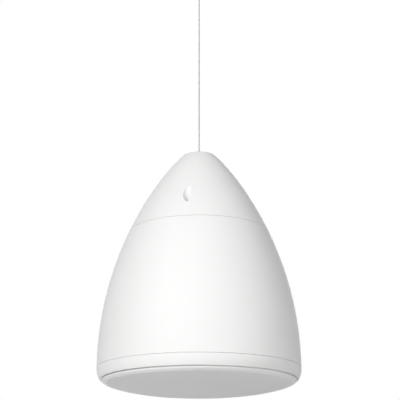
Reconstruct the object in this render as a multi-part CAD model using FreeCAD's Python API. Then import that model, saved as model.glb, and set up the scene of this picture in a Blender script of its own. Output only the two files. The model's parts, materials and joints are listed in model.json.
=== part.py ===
import FreeCAD, Part
import os
from math import sin, cos, tan, atan2, radians, degrees, hypot, sqrt

# A pendant loudspeaker: a bell-shaped moulded body that hangs on one steel wire rope, with a
# domed steel grille facing down. Millimetres, +Z up. The origin is at the top face of the
# ceiling holder, on the axis of the rope, and the front of the speaker faces -Y.

# Rope and ceiling holder
rope_r = 0.75
rope_free = 242.0
upper_stop_wall = 1.65
upper_stop_len = 5.0
lower_stop_wall = 2.25
lower_stop_len = 10.0
crimp_gap = 0.02
rope_gap = 0.15
stop_side_gap = 0.8
stop_end_gap = 1.0
holder_wall = 1.8
holder_web = 1.5
thread_r = 2.5
thread_depth = 9.0
thread_gap = 0.05
holder_cap_len = 4.0
holder_spigot_len = 3.5
edge_break = 0.5

# Bell outline, from the flat nose down to the widest place
body_r = 133.0
wide_depth = 290.9
side_handle = 167.1
nose_r = 20.9
nose_round = 4.5
flank_slope = 46.1
flank_run = 13.4
flank_handle = 10.7
wall = 3.0

# Top cap. The screw recesses open where their axes meet the skin, above the cap's end
cap_len = 109.0
seam_gap = 0.3
seam_break = 0.2
recess_r = 6.7
recess_wall = 2.0
recess_open_rise = 34.1
recess_floor_rise = 13.0
recess_floor = 3.0
recess_count = 3
first_recess_azimuth = -10.5

# Rope bush and cable grommet in the nose
bush_wall = 1.85
bush_lip = 1.05
bush_flange = 1.0
bush_below = 3.0
cable_bore_r = 3.5
grommet_wall = 1.25
grommet_lip = 1.25
grommet_flange = 1.6
grommet_space = 0.6
rubber_gap = 0.05

# Main shell, and the mounting plate that closes its top
deck_drop = 3.0
deck = 3.0
plate_gap = 0.15
collar_rise = 5.5
collar_wall = 2.5
collar_gap = 0.4
cap_boss_wall = 3.0
boss_gap = 0.4
baffle_boss_wall = 3.0
baffle_boss_len = 28.0
baffle_screw_inset = 8.0
baffle_screw_count = 6
pilot_gap = 0.05

# Suspension bracket, a bent steel strap
strap = 2.5
strap_width = 13.0
strap_half = 24.0
strap_top_depth = 14.0
strap_bend = 4.0
strap_foot = 17.0
strap_boss_depth = 8.0
strap_boss_wall = 2.5

# Trim ring, which carries the grille and clamps the baffle
ring_high = 14.4
ring_inset = 3.6
ring_straight = 1.0
ring_flange = 3.0
ring_flange_width = 18.0
ring_lip_len = 5.0
ring_lip = 2.2
spigot_step = 4.6
spigot = 1.6
spigot_len = 2.6

# Grille and its cloth
grille_inset = 3.0
grille_sheet = 1.2
shadow_gap = 1.2
grille_straight = 0.8
grille_high = 17.2
grille_edge_handle = 3.9
grille_flat_inset = 37.5
grille_hole_r = 3.4
grille_pitch = 20.0
grille_border = 8.0
holes_per_ring = 6
cloth = 0.8
cloth_gap = 0.3

# Baffle
baffle = 5.0
gasket = 1.0
baffle_gap = 0.4
woofer_hole_gap = 1.0

# Screws. The rounding and the slot are shares of the head's height and radius
m4_r = 2.0
m4_head_r = 3.8
m4_head = 2.4
m4_hole_gap = 0.3
m3_r = 1.5
m3_head_r = 2.8
m3_head = 1.8
m3_hole_gap = 0.2
cap_screw_len = 14.0
strap_screw_len = 9.0
baffle_screw_len = 20.0
woofer_screw_len = 12.0
clamp_screw_len = 7.0
board_screw_len = 8.0
slot_width = 0.8
slot_depth = 1.0
head_rounding = 0.45
slot_reach = 0.6

# Woofer frame and motor
basket_well_r = 71.5
basket_rim = 11.0
basket_sheet = 2.0
basket_high = 51.7
basket_flare = 3.0
basket_windows = 6
window_angle = 40.0
ledge_drop = 10.0
ledge_step = 3.5
ledge = 8.0
floor_border = 3.0
woofer_screw_inset = 4.5
woofer_screw_count = 4
woofer_screw_azimuth = 45.0
top_plate_r = 43.0
plate = 6.0
magnet_r = 45.0
magnet_bore_gap = 7.8
magnet_len = 15.0
magnet_round = 1.0
yoke_r = 43.5
pole_r = 12.4
air_gap = 1.8
post_hole_r = 2.6

# Woofer moving parts
former_gap = 0.5
former_sheet = 0.4
former_above = 3.0
former_below = 17.0
coil_wire = 0.4
coil_len = 12.0
cone_sheet = 0.9
cone_glue = 3.0
cone_bend_out = 9.7
cone_bend = 11.0
surround_width = 10.5
surround_sheet = 0.8
surround_land = 2.1
glue_land = 4.0
glue_edge = 1.0
spider_sheet = 0.7
spider_waves = 4
spider_wave = 2.2
spider_neck = 0.3
spider_land = 2.0
spider_seat = 3.5
rim_ring_out = 0.2
rim_ring_width = 3.4
rim_ring = 2.2

# Tweeter on a post through the pole
post_r = 4.0
post_len = 33.0
tweeter_r = 21.0
tweeter_back_r = 11.0
tweeter_len = 22.0
tweeter_taper_len = 11.0
tweeter_back_round = 2.0
tweeter_side_round = 6.0
tweeter_edge_round = 1.0
tweeter_dome_r = 12.5
tweeter_dome_rise = 3.6
tweeter_dome_sheet = 0.6
tweeter_seat = 1.0
tweeter_flare = 3.0
tweeter_face = 3.6
tweeter_thread = 8.0
bolt_head_r = 4.8

# Input side, on the deck
terminal_y = 48.0
terminal_long = 46.0
terminal_wide = 20.0
terminal_high = 15.0
terminal_round = 2.0
terminal_poles = 4
terminal_pitch = 10.0
well_r = 3.0
well_depth = 6.0
well_screw_high = 2.5
wire_hole_r = 2.0
wire_hole_rise = 5.0
selector_y = -50.0
selector_r = 13.0
selector_len = 12.0
selector_floor = 3.0
selector_bush_wall = 1.45
selector_bush_above = 4.0
selector_nut_across = 14.0
selector_nut = 2.4
selector_shaft_r = 3.0
shaft_gap = 0.05
lug_count = 7
lug_inset = 2.5
lug_sheet = 0.8
lug_width = 2.4
lug_len = 5.0
knob_r = 9.0
knob_high = 12.0
knob_round = 1.0
knob_grips = 12
grip_r = 1.3
grip_out = 0.6
knob_above = 1.0
pointer_width = 1.2
pointer_deep = 0.8
pointer_start = 2.0

# Transformer and crossover, under the deck
core_space = 2.0
core_long = 57.0
core_high = 47.5
core_stack = 22.0
core_leg = 9.5
winding_gap = 0.3
winding_out = 9.0
winding_round = 4.0
clamp = 1.5
clamp_width = 20.0
clamp_foot = 13.0
clamp_bend = 2.0
clamp_gap = 0.1
clamp_boss = 5.0
board_x0 = 20.0
board_long = 50.0
board_half_y = 37.0
board = 1.6
board_drop = 12.0
standoff_wall = 2.0
standoff_inset = 5.0
inductor_x = 40.0
inductor_y = 17.0
inductor_r = 15.0
inductor_bore_r = 7.5
inductor_len = 14.0
inductor_round = 2.0
capacitor_y = -24.0
capacitor_r = 7.0
capacitor_len = 30.0
capacitor_round = 1.0
resistor_y = -7.5
resistor_side = 9.0
resistor_len = 36.0
part_gap = 0.1

# How far a cutting tool runs past the face that it cuts
cut_past = 1.0

# Radii worked out from the sizes above
upper_stop_r = rope_r + upper_stop_wall
lower_stop_r = rope_r + lower_stop_wall
holder_bore_r = upper_stop_r + stop_side_gap
holder_r = holder_bore_r + holder_wall
bush_r = rope_r + rope_gap + bush_wall
bush_flange_r = bush_r + bush_lip
grommet_hole_r = cable_bore_r + grommet_wall
grommet_flange_r = grommet_hole_r + grommet_lip
grommet_y = bush_flange_r + grommet_flange_r + grommet_space
ring_bottom_r = body_r - ring_inset
spigot_r = ring_bottom_r - spigot_step
ring_bore_r = spigot_r - spigot
ring_flange_r = ring_bore_r - ring_flange_width
baffle_r = ring_bore_r - baffle_gap
baffle_screw_place_r = ring_bore_r - baffle_screw_inset
grille_r = ring_bottom_r - grille_inset
basket_r = basket_well_r + basket_rim
basket_floor_r = top_plate_r + floor_border
ledge_in_r = basket_floor_r - ledge_step
ledge_out_r = ledge_in_r + ledge
woofer_hole_r = basket_well_r + woofer_hole_gap
woofer_screw_place_r = basket_r - woofer_screw_inset
gap_r = pole_r + air_gap
magnet_bore_r = gap_r + magnet_bore_gap
former_r = pole_r + former_gap
former_outer_r = former_r + former_sheet
coil_r = former_outer_r + coil_wire
cone_edge_r = basket_well_r - surround_width
surround_r = basket_well_r + surround_land
rim_ring_r = surround_r + rim_ring_out
selector_bush_r = selector_shaft_r + shaft_gap + selector_bush_wall
strap_screw_x = strap_half + (strap_bend + strap_foot) / 2
strap_boss_r = m4_r + strap_boss_wall
cap_boss_r = m4_r + cap_boss_wall
baffle_boss_r = m4_r + baffle_boss_wall
standoff_r = m3_r + standoff_wall
core_x = -(strap_screw_x + strap_boss_r + core_space + core_stack / 2)
clamp_screw_y = core_long / 2 + clamp_gap + clamp + (clamp_bend + clamp_foot) / 2

# Heights worked out from the sizes above
holder_bore_len = holder_spigot_len + upper_stop_len + stop_end_gap
holder_len = thread_depth + holder_web + holder_bore_len
holder_end_z = -holder_len - holder_cap_len
nose_z = holder_end_z - rope_free
cap_end_z = nose_z - cap_len
recess_floor_z = cap_end_z + recess_floor_rise
shell_top_z = cap_end_z - seam_gap
deck_z = cap_end_z - deck_drop
deck_under_z = deck_z - deck
board_z = deck_under_z - board_drop
wide_z = nose_z - wide_depth
ring_top_z = wide_z - seam_gap
ring_flange_z = ring_top_z - ring_flange
ring_end_z = ring_top_z - ring_high
grille_top_z = ring_end_z - shadow_gap
grille_end_z = grille_top_z - grille_high
baffle_top_z = ring_flange_z - gasket
baffle_z = baffle_top_z - baffle
rim_top_z = baffle_z - gasket
rim_z = rim_top_z - basket_sheet
basket_floor_z = rim_z + basket_high
ledge_z = basket_floor_z - ledge_drop
plate_top_z = basket_floor_z + plate
magnet_top_z = plate_top_z + magnet_len
yoke_top_z = magnet_top_z + plate
coil_top_z = basket_floor_z + (plate + coil_len) / 2
former_top_z = coil_top_z + former_above
former_end_z = coil_top_z - coil_len - former_below
cone_neck_z = former_end_z + cone_glue
tweeter_top_z = basket_floor_z - post_len
tweeter_end_z = tweeter_top_z - tweeter_len
tweeter_seat_z = tweeter_end_z + tweeter_face

origin = FreeCAD.Vector(0, 0, 0)
up = FreeCAD.Vector(0, 0, 1)
along_x = FreeCAD.Vector(1, 0, 0)
along_y = FreeCAD.Vector(0, 1, 0)


def azimuth_place(radius, azimuth):
    """Point at a radius, with azimuth counted from the front (-Y) towards +X."""
    a = radians(azimuth)
    return radius * sin(a), -radius * cos(a)


def cylinder(r, z_low, z_high, x=0.0, y=0.0):
    """Upright cylinder between two heights."""
    return Part.makeCylinder(r, z_high - z_low, FreeCAD.Vector(x, y, z_low), up)


def tube(outer_r, inner_r, z_low, z_high, x=0.0, y=0.0):
    """Upright tube between two heights."""
    return cylinder(outer_r, z_low, z_high, x, y).cut(cylinder(inner_r, z_low, z_high, x, y))


def block(x0, x1, y0, y1, z0, z1):
    """Box between two corners."""
    return Part.makeBox(x1 - x0, y1 - y0, z1 - z0, FreeCAD.Vector(x0, y0, z0))


def at(r, z):
    """Point of a turned profile, in the plane Y = 0."""
    return FreeCAD.Vector(r, 0, z)


def line(a, b):
    """Straight edge between two profile points."""
    return Part.LineSegment(at(*a), at(*b)).toShape()


def turned(edges):
    """Solid of revolution about Z from a closed row of profile edges."""
    wire = Part.Wire(Part.__sortEdges__(edges))
    return Part.Face(wire).revolve(origin, up, 360)


def rounded_wire(corners, place=at):
    """Closed wire through corners (u, v, radius), with an arc at each corner that has a radius."""
    spots = []
    count = len(corners)
    for i in range(count):
        before = corners[i - 1]
        here = corners[i]
        after = corners[(i + 1) % count]
        spots.append(corner_arc(before, here, after))
    edges = []
    for i in range(count):
        start, middle, end = spots[i]
        if middle:
            edges.append(Part.Arc(place(*start), place(*middle), place(*end)).toShape())
        nxt = spots[(i + 1) % count][0]
        if hypot(nxt[0] - end[0], nxt[1] - end[1]) > 1e-6:
            edges.append(Part.LineSegment(place(*end), place(*nxt)).toShape())
    return Part.Wire(edges)


def corner_arc(before, here, after):
    """Start, middle and end of the tangent arc at one corner; the middle is None when sharp."""
    radius = here[2]
    if radius == 0:
        return (here[0], here[1]), None, (here[0], here[1])
    ux, uy = before[0] - here[0], before[1] - here[1]
    vx, vy = after[0] - here[0], after[1] - here[1]
    ul, vl = hypot(ux, uy), hypot(vx, vy)
    ux, uy, vx, vy = ux / ul, uy / ul, vx / vl, vy / vl
    cos_turn = ux * vx + uy * vy
    half = sqrt((1 - cos_turn) / 2)
    reach = radius * sqrt(1 - half * half) / half
    bx, by = ux + vx, uy + vy
    bl = hypot(bx, by)
    to_middle = radius / half - radius
    start = (here[0] + ux * reach, here[1] + uy * reach)
    middle = (here[0] + bx / bl * to_middle, here[1] + by / bl * to_middle)
    end = (here[0] + vx * reach, here[1] + vy * reach)
    return start, middle, end


def turned_corners(corners):
    """Solid of revolution from profile corners (r, z, radius)."""
    return Part.Face(rounded_wire(corners)).revolve(origin, up, 360)


def prism(corners, place, direction):
    """Straight prism from plane corners (u, v, radius)."""
    return Part.Face(rounded_wire(corners, place)).extrude(direction)


def bezier(poles):
    """Bezier curve through profile poles."""
    curve = Part.BezierCurve()
    curve.setPoles([at(*p) for p in poles])
    return curve


def moved_line(a, b, inset):
    """The line from a to b, moved to its left by inset."""
    length = hypot(b[0] - a[0], b[1] - a[1])
    nx, nz = -(b[1] - a[1]) / length * inset, (b[0] - a[0]) / length * inset
    return (a[0] + nx, a[1] + nz), (b[0] + nx, b[1] + nz)


def crossing(first, second):
    """Where two lines, each given by two points, meet."""
    (ax, ay), (bx, by) = first
    (cx, cy), (dx, dy) = second
    rx, ry = bx - ax, by - ay
    sx, sy = dx - cx, dy - cy
    t = ((cx - ax) * sy - (cy - ay) * sx) / (rx * sy - ry * sx)
    return ax + rx * t, ay + ry * t


def inset_poles(poles, inset):
    """Poles of the curve that runs alongside at a distance, on the left of the first curve."""
    legs = [moved_line(poles[i], poles[i + 1], inset) for i in range(len(poles) - 1)]
    inner = [crossing(legs[i], legs[i + 1]) for i in range(len(legs) - 1)]
    return [legs[0][0]] + inner + [legs[-1][1]]


def flank_place(run):
    """Point on the straight flank under the nose, at a run from the nose's sharp corner."""
    return nose_r + run * cos(radians(flank_slope)), nose_z - run * sin(radians(flank_slope))


def bell_poles(inset):
    """Poles of the bell's outline, from the widest place up to the straight flank."""
    wide = (body_r, wide_z)
    side = (body_r, wide_z + side_handle)
    poles = [wide, side, flank_place(flank_run + flank_handle), flank_place(flank_run)]
    return inset_poles(poles, inset)


def height_place(curve, z):
    """Parameter of the place where a rising curve has a height."""
    low, high = 0.0, 1.0
    for _ in range(60):
        middle = (low + high) / 2
        if curve.value(middle).z < z:
            low = middle
        else:
            high = middle
    return (low + high) / 2


def bell_radius(z, inset):
    """Radius of the bell's outline at a height."""
    curve = bezier(bell_poles(inset))
    return curve.value(height_place(curve, z)).x


def bell_edge(inset, z_low, z_high):
    """The part of the bell's outline between two heights."""
    curve = bezier(bell_poles(inset))
    curve.segment(height_place(curve, z_low), height_place(curve, z_high))
    return curve.toShape()


def bell_top_edge(inset, z_low):
    """The bell's outline from a height up to the straight flank."""
    curve = bezier(bell_poles(inset))
    curve.segment(height_place(curve, z_low), 1.0)
    return curve.toShape()


def recess_spots():
    """Places of the cap's screw recesses, whose axes meet the skin at one height."""
    radius = bell_radius(cap_end_z + recess_open_rise, 0)
    turn = 360.0 / recess_count
    return [azimuth_place(radius, first_recess_azimuth + i * turn) for i in range(recess_count)]


def screw(radius, length, head_r, head, x, y, z, facing):
    """Pan-head screw with a cross slot. z is the face under the head; facing +1 has the head up."""
    body = cylinder(head_r, 0, head)
    rim = [e for e in body.Edges if abs(e.CenterOfMass.z - head) < 1e-6]
    body = body.makeFillet(head * head_rounding, rim)
    for turn in (0, 90):
        reach = head_r * slot_reach
        slot = block(-reach, reach, -slot_width / 2, slot_width / 2, head - slot_depth, head)
        slot.rotate(origin, up, turn)
        body = body.cut(slot)
    body = body.fuse(cylinder(radius, -length, 0)).removeSplitter()
    if facing < 0:
        body.rotate(origin, along_x, 180)
    body.translate(FreeCAD.Vector(x, y, z))
    return body


def save(name, *solids):
    """Write one node, as one solid or a group of separate solids."""
    shape = solids[0] if len(solids) == 1 else Part.makeCompound(list(solids))
    shape.exportStep("parts/" + name + ".step")


def make_ceiling_holder():
    """Turned barrel with the ceiling thread above and a bore for the rope's end below."""
    barrel = turned_corners([
        (0, -holder_len, 0), (holder_r, -holder_len, 0),
        (holder_r, -edge_break, 0), (holder_r - edge_break, 0, 0), (0, 0, 0)])
    barrel = barrel.cut(cylinder(thread_r, -thread_depth, 0))
    return barrel.cut(cylinder(holder_bore_r, -holder_len, -holder_len + holder_bore_len))


def make_holder_cap():
    """Screwed cap that keeps the rope's stop in the holder."""
    nut = turned_corners([
        (0, holder_end_z, 0), (holder_r - edge_break * 2, holder_end_z, 0),
        (holder_r, holder_end_z + edge_break * 2, 0), (holder_r, -holder_len, 0), (0, -holder_len, 0)])
    spigot = cylinder(holder_bore_r - thread_gap, -holder_len, -holder_len + holder_spigot_len)
    hole = cylinder(rope_r + rope_gap, holder_end_z, -holder_len + holder_spigot_len)
    return nut.fuse(spigot).removeSplitter().cut(hole)


def rope_top_z():
    """Height of the rope's upper end, flush with its stop."""
    return -holder_len + holder_spigot_len + upper_stop_len


def rope_low_z():
    """Height of the rope's lower end, flush with its stop."""
    return nose_z - strap_top_depth - strap - lower_stop_len


def make_upper_stop():
    """Crimped stop on the rope inside the holder."""
    return tube(upper_stop_r, rope_r + crimp_gap, -holder_len + holder_spigot_len, rope_top_z())


def make_lower_stop():
    """Crimped stop on the rope under the bracket's bar."""
    low = rope_low_z()
    high = low + lower_stop_len
    return turned_corners([
        (rope_r + crimp_gap, low, 0), (lower_stop_r, low, edge_break),
        (lower_stop_r, high, edge_break), (rope_r + crimp_gap, high, 0)])


def make_top_cap():
    """Moulded bell cap with a flat nose and three deep screw recesses."""
    seam_r = bell_radius(cap_end_z, 0)
    break_z = cap_end_z + seam_break
    inner_low = (bell_radius(cap_end_z, wall), cap_end_z)
    inner_top = bell_poles(wall)[-1]
    ceiling_z = nose_z - wall
    inner_corner_r = inner_top[0] - (ceiling_z - inner_top[1]) / tan(radians(flank_slope))
    flank_top = flank_place(flank_run)
    nose_line = nose_round * tan(radians(flank_slope / 2))
    round_start = (nose_r - nose_line, nose_z)
    round_end = flank_place(nose_line)
    half_turn = radians(flank_slope / 2)
    round_middle = (round_start[0] + nose_round * sin(half_turn), nose_z - nose_round * (1 - cos(half_turn)))
    edges = [
        line((bush_r + rubber_gap, nose_z), round_start),
        Part.Arc(at(*round_start), at(*round_middle), at(*round_end)).toShape(),
        line(round_end, flank_top),
        bell_top_edge(0, break_z),
        line((bell_radius(break_z, 0), break_z), (seam_r - seam_break, cap_end_z)),
        line((seam_r - seam_break, cap_end_z), inner_low),
        bell_top_edge(wall, cap_end_z),
        line(inner_top, (inner_corner_r, ceiling_z)),
        line((inner_corner_r, ceiling_z), (bush_r + rubber_gap, ceiling_z)),
        line((bush_r + rubber_gap, ceiling_z), (bush_r + rubber_gap, nose_z)),
    ]
    cap = turned(edges)
    bell = bell_solid(cap_end_z)
    for x, y in recess_spots():
        tower = cylinder(recess_r + recess_wall, recess_floor_z - recess_floor, nose_z, x, y).common(bell)
        cap = cap.fuse(tower)
    for x, y in recess_spots():
        cap = cap.cut(cylinder(recess_r, recess_floor_z, nose_z, x, y))
        cap = cap.cut(cylinder(m4_r + m4_hole_gap, recess_floor_z - recess_floor, recess_floor_z, x, y))
    return cap.cut(cylinder(grommet_hole_r + rubber_gap, nose_z - wall, nose_z, 0, grommet_y))


def bell_solid(z_low):
    """The bell filled solid inside the middle of its wall, above a height."""
    middle = wall / 2
    poles = bell_poles(middle)
    top = poles[-1]
    edges = [
        bell_top_edge(middle, z_low),
        line(top, (0, top[1])),
        line((0, top[1]), (0, z_low)),
        line((0, z_low), (bell_radius(z_low, middle), z_low)),
    ]
    return turned(edges)


def make_nose_bush():
    """Plastic bush that guides the rope through the nose."""
    body = cylinder(bush_r, nose_z - wall - bush_below, nose_z)
    flange = turned_corners([
        (0, nose_z, 0), (bush_flange_r, nose_z, 0), (bush_flange_r, nose_z + bush_flange, edge_break),
        (0, nose_z + bush_flange, 0)])
    hole = cylinder(rope_r + rope_gap, nose_z - wall - bush_below, nose_z + bush_flange)
    return body.fuse(flange).removeSplitter().cut(hole)


def make_cable_grommet():
    """Rubber grommet for the loudspeaker cable, behind the rope."""
    low = nose_z - wall - grommet_flange
    high = nose_z + grommet_flange
    body = turned_corners([
        (cable_bore_r, low, 0), (grommet_flange_r, low, edge_break),
        (grommet_flange_r, nose_z - wall, 0), (grommet_hole_r, nose_z - wall, 0),
        (grommet_hole_r, nose_z, 0), (grommet_flange_r, nose_z, 0),
        (grommet_flange_r, high, edge_break), (cable_bore_r, high, 0)])
    body.translate(FreeCAD.Vector(0, grommet_y, 0))
    return body


def make_cap_screws():
    """Screws at the bottom of the cap's recesses."""
    return [screw(m4_r, cap_screw_len, m4_head_r, m4_head, x, y, recess_floor_z, 1)
            for x, y in recess_spots()]


def baffle_screw_places():
    """Places of the screws that hold the baffle and the trim ring."""
    step = 360.0 / baffle_screw_count
    return [azimuth_place(baffle_screw_place_r, step / 2 + i * step) for i in range(baffle_screw_count)]


def collar_radius():
    """Outer radius of the collar that centres the cap."""
    return bell_radius(cap_end_z + collar_rise, wall) - collar_gap


def make_main_shell():
    """Moulded skin with a lip that hangs on the mounting plate, and bosses for the baffle's screws."""
    lip_r = collar_radius() + plate_gap
    top_r = bell_radius(shell_top_z, 0)
    break_z = shell_top_z - seam_break
    low_break_z = wide_z + seam_break
    edges = [
        line((lip_r, deck_z), (lip_r, shell_top_z)),
        line((lip_r, shell_top_z), (top_r - seam_break, shell_top_z)),
        line((top_r - seam_break, shell_top_z), (bell_radius(break_z, 0), break_z)),
        bell_edge(0, low_break_z, break_z),
        line((bell_radius(low_break_z, 0), low_break_z), (body_r - seam_break, wide_z)),
        line((body_r - seam_break, wide_z), (body_r - wall, wide_z)),
        bell_edge(wall, wide_z, deck_z),
        line((bell_radius(deck_z, wall), deck_z), (lip_r, deck_z)),
    ]
    shell = turned(edges)
    for x, y in recess_spots():
        shell = shell.cut(cylinder(cap_boss_r + plate_gap, deck_z, shell_top_z, x, y))
    return add_baffle_bosses(shell)


def make_mounting_plate():
    """Plate bonded under the shell's lip, with the collar for the cap and bosses for what it carries."""
    collar_r = collar_radius()
    body = cylinder(bell_radius(deck_z, wall) - plate_gap, deck_under_z, deck_z)
    body = body.fuse(tube(collar_r, collar_r - collar_wall, deck_z - deck / 2, cap_end_z + collar_rise))
    body = add_deck_bosses(body)
    hole = cylinder(selector_bush_r + rubber_gap, deck_under_z, deck_z, 0, selector_y)
    return body.cut(hole)


def add_deck_bosses(body):
    """Bosses for the cap's screws, and pads under the deck for the bracket's screws."""
    boss_top = recess_floor_z - recess_floor - boss_gap
    pilot = m4_r + pilot_gap
    for x, y in recess_spots():
        body = body.fuse(cylinder(cap_boss_r, deck_z - deck / 2, boss_top, x, y))
        body = body.cut(cylinder(pilot, deck_z, boss_top, x, y))
    for x in (-strap_screw_x, strap_screw_x):
        low = deck_under_z - strap_boss_depth
        body = body.fuse(cylinder(strap_boss_r, low, deck_z - deck / 2, x, 0))
        body = body.cut(cylinder(pilot, low + deck / 2, deck_z, x, 0))
    return add_inner_bosses(body)


def add_inner_bosses(body):
    """Bosses for the transformer's clamp, above the deck, and for the board, below it."""
    pilot = m3_r + pilot_gap
    for y in (-clamp_screw_y, clamp_screw_y):
        body = body.fuse(cylinder(standoff_r, deck_z - deck / 2, deck_z + clamp_boss, core_x, y))
        body = body.cut(cylinder(pilot, deck_under_z, deck_z + clamp_boss - deck / 2, core_x, y))
    for x, y in board_screw_places():
        body = body.fuse(cylinder(standoff_r, board_z, deck_z - deck / 2, x, y))
        body = body.cut(cylinder(pilot, board_z, deck_under_z, x, y))
    return body


def add_baffle_bosses(shell):
    """Bosses with a web to the skin, for the screws that come up through the baffle."""
    pilot = m4_r + pilot_gap
    high = wide_z + baffle_boss_len
    for x, y in baffle_screw_places():
        web_r = bell_radius(high, wall / 2)
        web = block(baffle_screw_place_r, web_r, -wall / 2, wall / 2, wide_z, high)
        web.rotate(origin, up, degrees(atan2(y, x)))
        boss = cylinder(baffle_boss_r, wide_z, high, x, y).fuse(web)
        shell = shell.fuse(boss).cut(cylinder(pilot, wide_z, high - wall, x, y))
    return shell


def make_suspension_bracket():
    """Bent strap that stands on the deck and carries the rope's lower stop."""
    top = nose_z - strap_top_depth
    foot = strap_half + strap_foot
    inside = strap_half - strap
    outer = strap_bend + strap
    corners = [
        (-foot, deck_z, 0), (-strap_half + strap, deck_z, outer),
        (-inside, top - strap, strap_bend), (inside, top - strap, strap_bend),
        (strap_half - strap, deck_z, outer), (foot, deck_z, 0),
        (foot, deck_z + strap, 0), (strap_half, deck_z + strap, strap_bend),
        (strap_half, top, outer), (-strap_half, top, outer),
        (-strap_half, deck_z + strap, strap_bend), (-foot, deck_z + strap, 0)]
    strip = prism(corners, lambda x, z: FreeCAD.Vector(x, -strap_width / 2, z),
                  FreeCAD.Vector(0, strap_width, 0))
    strip = strip.cut(cylinder(rope_r + rope_gap, top - strap, top))
    for x in (-strap_screw_x, strap_screw_x):
        strip = strip.cut(cylinder(m4_r + m4_hole_gap, deck_z, deck_z + strap, x, 0))
    return strip


def make_bracket_screws():
    """Screws through the bracket's feet into the deck's bosses."""
    z = deck_z + strap
    return [screw(m4_r, strap_screw_len, m4_head_r, m4_head, x, 0, z, 1)
            for x in (-strap_screw_x, strap_screw_x)]


def make_trim_ring():
    """Band under the shell, with a clamping flange, a locating lip and the grille's spigot."""
    lip_r = body_r - wall - collar_gap
    lip_z = ring_top_z + ring_lip_len
    straight_z = ring_top_z - ring_straight
    drop = straight_z - ring_end_z
    inward = body_r - ring_bottom_r
    bend_r = (drop * drop + inward * inward) / (2 * inward)
    mid_z = (straight_z + ring_end_z) / 2
    mid_r = body_r - bend_r + sqrt(bend_r ** 2 - (drop / 2) ** 2)
    spigot_z = ring_end_z - spigot_len
    edges = [
        line((ring_flange_r, ring_flange_z), (ring_flange_r, ring_top_z)),
        line((ring_flange_r, ring_top_z), (lip_r - ring_lip, ring_top_z)),
        line((lip_r - ring_lip, ring_top_z), (lip_r - ring_lip, lip_z)),
        line((lip_r - ring_lip, lip_z), (lip_r, lip_z)),
        line((lip_r, lip_z), (lip_r, ring_top_z)),
        line((lip_r, ring_top_z), (body_r - seam_break, ring_top_z)),
        line((body_r - seam_break, ring_top_z), (body_r, ring_top_z - seam_break)),
        line((body_r, ring_top_z - seam_break), (body_r, straight_z)),
        Part.Arc(at(body_r, straight_z), at(mid_r, mid_z), at(ring_bottom_r, ring_end_z)).toShape(),
        line((ring_bottom_r, ring_end_z), (spigot_r, ring_end_z)),
        line((spigot_r, ring_end_z), (spigot_r, spigot_z)),
        line((spigot_r, spigot_z), (ring_bore_r, spigot_z)),
        line((ring_bore_r, spigot_z), (ring_bore_r, ring_flange_z)),
        line((ring_bore_r, ring_flange_z), (ring_flange_r, ring_flange_z)),
    ]
    ring = turned(edges)
    for x, y in baffle_screw_places():
        ring = ring.cut(cylinder(m4_r + m4_hole_gap, ring_flange_z, ring_top_z, x, y))
        half_slot = wall / 2 + collar_gap
        slot = block(baffle_screw_place_r, body_r, -half_slot, half_slot, ring_top_z, lip_z)
        slot.rotate(origin, up, degrees(atan2(y, x)))
        ring = ring.cut(slot)
    return ring


def make_baffle_gasket():
    """Foam gasket between the ring's flange and the baffle."""
    body = tube(baffle_r, ring_flange_r, baffle_top_z, ring_flange_z)
    for x, y in baffle_screw_places():
        body = body.cut(cylinder(m4_r + m4_hole_gap, baffle_top_z, ring_flange_z, x, y))
    return body


def make_baffle():
    """Baffle board with the woofer's opening."""
    body = tube(baffle_r, woofer_hole_r, baffle_z, baffle_top_z)
    for x, y in baffle_screw_places():
        body = body.cut(cylinder(m4_r + m4_hole_gap, baffle_z, baffle_top_z, x, y))
    for x, y in woofer_screw_places():
        body = body.cut(cylinder(m4_r + pilot_gap, baffle_z, baffle_top_z, x, y))
    return body


def make_baffle_screws():
    """Screws from below through the baffle and the ring into the shell."""
    return [screw(m4_r, baffle_screw_len, m4_head_r, m4_head, x, y, baffle_z, -1)
            for x, y in baffle_screw_places()]


def grille_poles(inset):
    """Poles of the grille's domed outline, from the axis out to the rim."""
    bend_z = grille_top_z - grille_straight
    poles = [(0, grille_end_z), (grille_r - grille_flat_inset, grille_end_z),
             (grille_r, bend_z - grille_edge_handle), (grille_r, bend_z)]
    return inset_poles(poles, inset)


def dome_solid(near, far):
    """Domed shell between two insets of the grille's outline, with an upright rim."""
    outer = grille_poles(near)
    inner = grille_poles(far)
    edges = [
        bezier(outer).toShape(),
        line(outer[-1], (outer[-1][0], grille_top_z)),
        line((outer[-1][0], grille_top_z), (inner[-1][0], grille_top_z)),
        line((inner[-1][0], grille_top_z), inner[-1]),
        bezier(inner).toShape(),
        line(inner[0], outer[0]),
    ]
    return turned(edges)


def make_grille():
    """Pressed steel dome that clips over the ring's spigot, with rings of round holes."""
    dome = dome_solid(0, grille_sheet)
    low = grille_end_z - cut_past
    holes = [cylinder(grille_hole_r, low, grille_top_z)]
    rings = int((ring_bore_r - grille_border) / grille_pitch)
    for ring in range(1, rings + 1):
        count = holes_per_ring * ring
        for i in range(count):
            x, y = azimuth_place(grille_pitch * ring, i * 360.0 / count)
            holes.append(cylinder(grille_hole_r, low, grille_top_z, x, y))
    return dome.cut(Part.makeCompound(holes))


def make_grille_cloth():
    """Acoustic cloth behind the grille, inside the spigot."""
    near = grille_sheet + cloth_gap
    dome = dome_solid(near, near + cloth)
    return dome.common(cylinder(baffle_r, grille_end_z, grille_top_z))


def woofer_screw_places():
    """Places of the screws that hold the woofer."""
    step = 360.0 / woofer_screw_count
    return [azimuth_place(woofer_screw_place_r, woofer_screw_azimuth + i * step)
            for i in range(woofer_screw_count)]


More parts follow.
